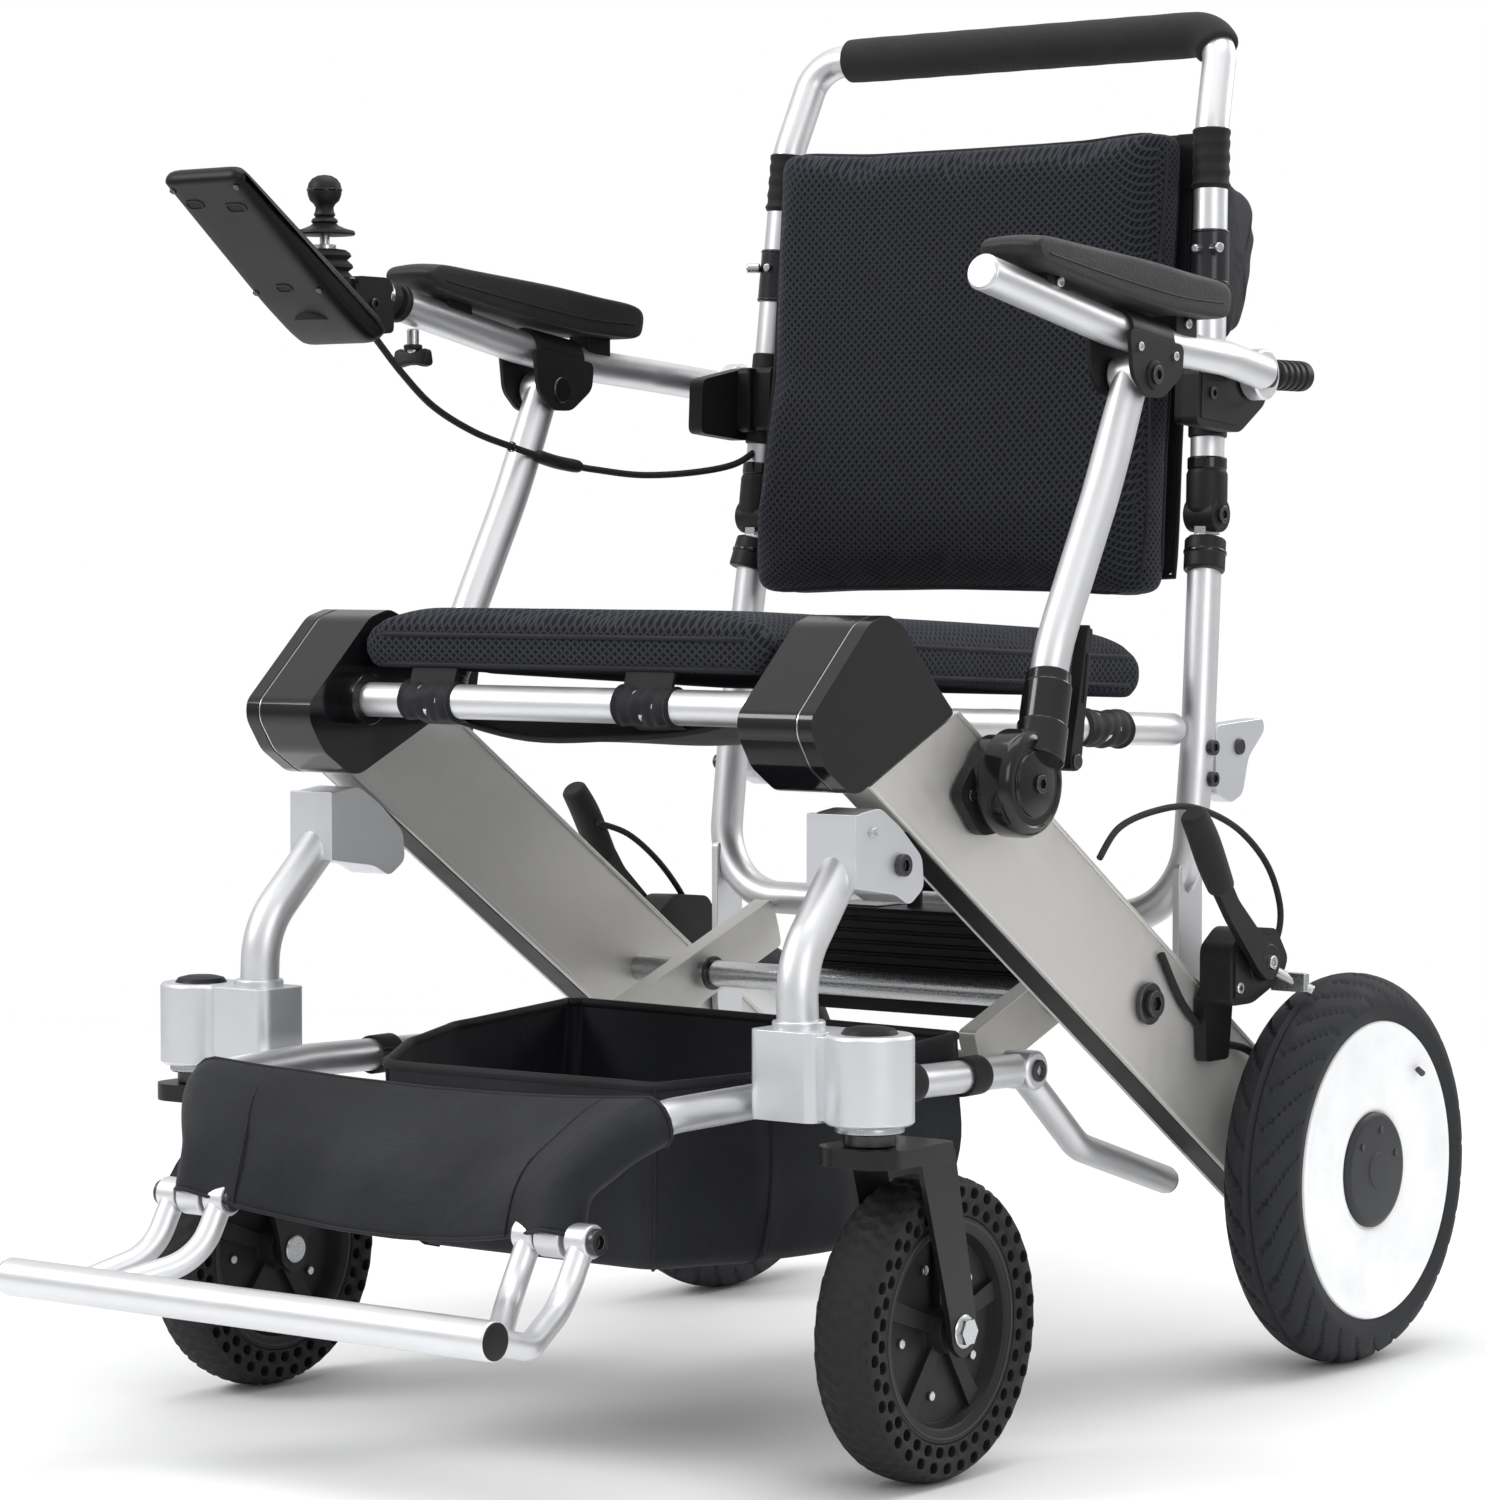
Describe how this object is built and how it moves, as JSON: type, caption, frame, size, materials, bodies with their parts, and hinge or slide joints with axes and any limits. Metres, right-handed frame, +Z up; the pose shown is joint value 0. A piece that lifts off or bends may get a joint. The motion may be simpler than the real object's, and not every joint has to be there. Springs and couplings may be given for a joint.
{
  "type": "power wheelchair",
  "caption": "Folding power wheelchair with a scissor frame of slanted side beams, mesh seat and back, joystick on one armrest, driven rear wheels and swivelling front casters.",
  "frame": {"origin": "on the floor, below the middle of the chair's overall length and width", "axes": "+Z up; the chair faces -Y, so the footrest is at -Y and the driven wheels at +Y; +X is the user's left, away from the joystick"},
  "size_m": [0.611, 0.994, 0.9595],
  "materials": {
    "silver_tube": "satin anodised aluminium tube, fine brushed grain along the tube",
    "beam_satin": "warm grey satin anodised plate, faint brushing",
    "cast_silver": "bright satin cast aluminium, slightly cooler than the tubes",
    "gloss_black": "glossy black moulded plastic",
    "matte_black": "matte black glass-filled nylon, fine moulded texture",
    "black_steel": "satin black powder coat",
    "steel": "zinc-plated steel",
    "rear_rubber": "black road tyre rubber with curved grooves",
    "caster_rubber": "black solid honeycomb tyre rubber",
    "wheel_white": "white semi-gloss wheel disc",
    "air_mesh": "black three-layer spacer mesh with diamond openings over a blue-black ground",
    "nylon": "black plain-weave nylon with bias-bound edges",
    "foam_grip": "closed-cell black foam, fine pores",
    "pad_pu": "moulded polyurethane skin, slight sheen"
  },
  "bodies": {
    "base_frame": {"side_beam_left": "beam_satin", "side_beam_right": "beam_satin", "end_cap_left": "gloss_black", "end_cap_right": "gloss_black", "seat_frame": "silver_tube", "seat_cushion": "air_mesh", "lower_back_frame": "silver_tube", "pivot_shaft": "steel", "battery_tray": "black_steel", "hub_motor_left": "black_steel", "hub_motor_right": "black_steel", "brake_housing_left": "matte_black", "brake_housing_right": "matte_black", "post_base_left": "matte_black", "post_base_right": "matte_black"},
    "battery_pack": {"battery": "matte_black"},
    "front_frame_body": {"front_frame": "silver_tube", "caster_leg_left": "cast_silver", "caster_leg_right": "cast_silver", "basket": "nylon", "calf_strap": "nylon"},
    "footrest_body": {"footrest": "silver_tube"},
    "back_frame": {"back_tube": "silver_tube", "push_grip": "foam_grip", "back_cushion": "air_mesh", "arm_clamp_left": "matte_black", "arm_clamp_right": "matte_black"},
    "controller_body": {"controller": "matte_black"},
    "gimbal_body": {"joystick_gimbal": "steel"},
    "joystick_body": {"joystick": "matte_black"},
    "power_button_body": {"power_button": "gloss_black"},
    "horn_button_body": {"horn_button": "gloss_black"},
    "speed_button_body": {"speed_button": "gloss_black"},
    "thumb_knob_body": {"thumb_knob": "matte_black"},
    "rear_wheel_left_body": {"rear_tyre_left": "rear_rubber", "rear_wheel_left": "wheel_white"},
    "brake_lever_left_body": {"brake_lever_left": "matte_black"},
    "caster_fork_left_body": {"caster_fork_left": "black_steel"},
    "caster_wheel_left_body": {"caster_tyre_left": "caster_rubber", "caster_hub_left": "matte_black"},
    "arm_knuckle_left_body": {"arm_knuckle_left": "matte_black"},
    "armrest_left_body": {"armrest_tube_left": "silver_tube", "armrest_pad_left": "pad_pu", "arm_bracket_left": "matte_black"},
    "post_left_body": {"armrest_post_left": "silver_tube", "post_foot_left": "matte_black"},
    "latch_left_body": {"post_latch_left": "matte_black"},
    "rear_wheel_right_body": {"rear_tyre_right": "rear_rubber", "rear_wheel_right": "wheel_white"},
    "brake_lever_right_body": {"brake_lever_right": "matte_black"},
    "caster_fork_right_body": {"caster_fork_right": "black_steel"},
    "caster_wheel_right_body": {"caster_tyre_right": "caster_rubber", "caster_hub_right": "matte_black"},
    "arm_knuckle_right_body": {"arm_knuckle_right": "matte_black"},
    "armrest_right_body": {"armrest_tube_right": "silver_tube", "armrest_pad_right": "pad_pu", "arm_bracket_right": "matte_black"},
    "post_right_body": {"armrest_post_right": "silver_tube", "post_foot_right": "matte_black"},
    "latch_right_body": {"post_latch_right": "matte_black"}
  },
  "joints": [
    {"name": "frame_fold", "type": "hinge", "parent": "base_frame", "child": "front_frame_body", "pos_m": [0, 0.164, 0.2674], "axis": [1, 0, 0], "range_deg": [0, 70]},
    {"name": "back_fold", "type": "hinge", "parent": "base_frame", "child": "back_frame", "pos_m": [0, 0.297, 0.6], "axis": [1, 0, 0], "range_deg": [0, 85.5]},
    {"name": "battery_lift", "type": "slide", "parent": "base_frame", "child": "battery_pack", "axis": [0, 0, 1], "range_m": [0, 0.1]},
    {"name": "footrest_flip", "type": "hinge", "parent": "front_frame_body", "child": "footrest_body", "pos_m": [0, -0.367, 0.164], "axis": [-1, 0, 0], "range_deg": [0, 80]},
    {"name": "rear_wheel_spin_left", "type": "hinge", "parent": "base_frame", "child": "rear_wheel_left_body", "pos_m": [0.277, 0.359, 0.138], "axis": [1, 0, 0], "continuous": true},
    {"name": "brake_left", "type": "hinge", "parent": "base_frame", "child": "brake_lever_left_body", "pos_m": [0.262, 0.264, 0.29], "axis": [-1, 0, 0], "range_deg": [0, 45]},
    {"name": "caster_swivel_left", "type": "hinge", "parent": "front_frame_body", "child": "caster_fork_left_body", "pos_m": [0.277, -0.227, 0.24], "axis": [0, 0, 1], "continuous": true},
    {"name": "caster_spin_left", "type": "hinge", "parent": "caster_fork_left_body", "child": "caster_wheel_left_body", "pos_m": [0.277, -0.166, 0.096], "axis": [1, 0, 0], "continuous": true},
    {"name": "arm_level_left", "type": "hinge", "parent": "back_frame", "child": "arm_knuckle_left_body", "pos_m": [0.215, 0.314, 0.698], "axis": [1, 0, 0], "range_deg": [-113.2, 0]},
    {"name": "armrest_flip_left", "type": "hinge", "parent": "arm_knuckle_left_body", "child": "armrest_left_body", "pos_m": [0.229, 0.314, 0.698], "axis": [1, 0, 0], "range_deg": [-95, 0]},
    {"name": "post_fold_left", "type": "hinge", "parent": "armrest_left_body", "child": "post_left_body", "pos_m": [0.252, 0.109, 0.691], "axis": [1, 0, 0], "range_deg": [0, 49.5]},
    {"name": "post_latch_left", "type": "hinge", "parent": "post_left_body", "child": "latch_left_body", "pos_m": [0.259, 0.025, 0.438], "axis": [-1, 0, 0], "range_deg": [0, 25]},
    {"name": "rear_wheel_spin_right", "type": "hinge", "parent": "base_frame", "child": "rear_wheel_right_body", "pos_m": [-0.277, 0.359, 0.138], "axis": [1, 0, 0], "continuous": true},
    {"name": "brake_right", "type": "hinge", "parent": "base_frame", "child": "brake_lever_right_body", "pos_m": [-0.262, 0.264, 0.29], "axis": [-1, 0, 0], "range_deg": [0, 45]},
    {"name": "caster_swivel_right", "type": "hinge", "parent": "front_frame_body", "child": "caster_fork_right_body", "pos_m": [-0.277, -0.227, 0.24], "axis": [0, 0, 1], "continuous": true},
    {"name": "caster_spin_right", "type": "hinge", "parent": "caster_fork_right_body", "child": "caster_wheel_right_body", "pos_m": [-0.277, -0.166, 0.096], "axis": [1, 0, 0], "continuous": true},
    {"name": "arm_level_right", "type": "hinge", "parent": "back_frame", "child": "arm_knuckle_right_body", "pos_m": [-0.215, 0.314, 0.698], "axis": [1, 0, 0], "range_deg": [-113.2, 0]},
    {"name": "armrest_flip_right", "type": "hinge", "parent": "arm_knuckle_right_body", "child": "armrest_right_body", "pos_m": [-0.229, 0.314, 0.698], "axis": [1, 0, 0], "range_deg": [-95, 0]},
    {"name": "post_fold_right", "type": "hinge", "parent": "armrest_right_body", "child": "post_right_body", "pos_m": [-0.252, 0.109, 0.691], "axis": [1, 0, 0], "range_deg": [0, 49.5]},
    {"name": "post_latch_right", "type": "hinge", "parent": "post_right_body", "child": "latch_right_body", "pos_m": [-0.259, 0.025, 0.438], "axis": [-1, 0, 0], "range_deg": [0, 25]},
    {"name": "controller_slide", "type": "slide", "parent": "armrest_right_body", "child": "controller_body", "axis": [0, -0.9813, 0.1923], "range_m": [0, 0.05]},
    {"name": "joystick_fore_aft", "type": "hinge", "parent": "controller_body", "child": "gimbal_body", "pos_m": [-0.262, -0.116, 0.783], "axis": [1, 0, 0], "range_deg": [-12, 12]},
    {"name": "joystick_side", "type": "hinge", "parent": "gimbal_body", "child": "joystick_body", "pos_m": [-0.262, -0.116, 0.783], "axis": [0, 1, 0], "range_deg": [-12, 12]},
    {"name": "power_press", "type": "slide", "parent": "controller_body", "child": "power_button_body", "axis": [0, -0.5647, -0.8253], "range_m": [0, 0.0015]},
    {"name": "horn_press", "type": "slide", "parent": "controller_body", "child": "horn_button_body", "axis": [0, -0.5647, -0.8253], "range_m": [0, 0.0015]},
    {"name": "speed_press", "type": "slide", "parent": "controller_body", "child": "speed_button_body", "axis": [0, -0.5647, -0.8253], "range_m": [0, 0.0015]},
    {"name": "thumb_knob_turn", "type": "hinge", "parent": "armrest_right_body", "child": "thumb_knob_body", "pos_m": [-0.252, -0.035, 0.716], "axis": [0, 0, 1], "continuous": true}
  ],
  "couplings": [
    {"joint": "back_fold", "follows": "frame_fold", "ratio": 1.2143},
    {"joint": "arm_level_left", "follows": "frame_fold", "ratio": -1.61},
    {"joint": "post_fold_left", "follows": "frame_fold", "ratio": 0.7},
    {"joint": "arm_level_right", "follows": "frame_fold", "ratio": -1.61},
    {"joint": "post_fold_right", "follows": "frame_fold", "ratio": 0.7}
  ]
}
